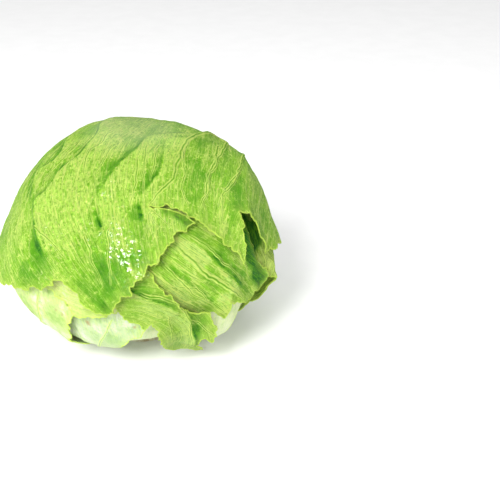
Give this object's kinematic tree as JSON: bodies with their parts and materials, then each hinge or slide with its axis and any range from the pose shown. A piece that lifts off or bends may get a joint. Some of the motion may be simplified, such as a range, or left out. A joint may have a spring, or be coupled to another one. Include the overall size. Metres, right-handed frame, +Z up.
{
  "type": "iceberg lettuce",
  "caption": "Whole crisphead lettuce standing on its cut stem, with a packed heart and thin ribbed leaves wrapped round it, their edges ragged and waved.",
  "frame": {"origin": "centre of the stem's flat cut face, on the surface that the head stands on", "axes": "+Z up through the head's crown, -Y towards the side that the picture shows, +X to its right"},
  "size_m": [0.1686, 0.1688, 0.1327],
  "materials": {
    "green_leaf": "smooth, slightly waxy leaf with pale ribs",
    "yellow_leaf": "smooth, slightly waxy yellow-green leaf",
    "pale_leaf": "smooth pale leaf, nearly white at its base",
    "heart_leaf": "packed leaves, matte",
    "cut_stem": "cut face browned by air, matte"
  },
  "bodies": {
    "root": {"cut_stem": "cut_stem", "heart": "heart_leaf", "cup_leaf_back": "pale_leaf", "cup_leaf_right": "pale_leaf", "cup_leaf_front": "pale_leaf", "cup_leaf_left": "pale_leaf", "back_wrapper_leaf": "green_leaf", "inner_wrapper_leaf": "yellow_leaf", "side_wrapper_leaf": "green_leaf", "low_wrapper_leaf": "green_leaf", "outer_wrapper_leaf": "green_leaf"}
  },
  "joints": []
}
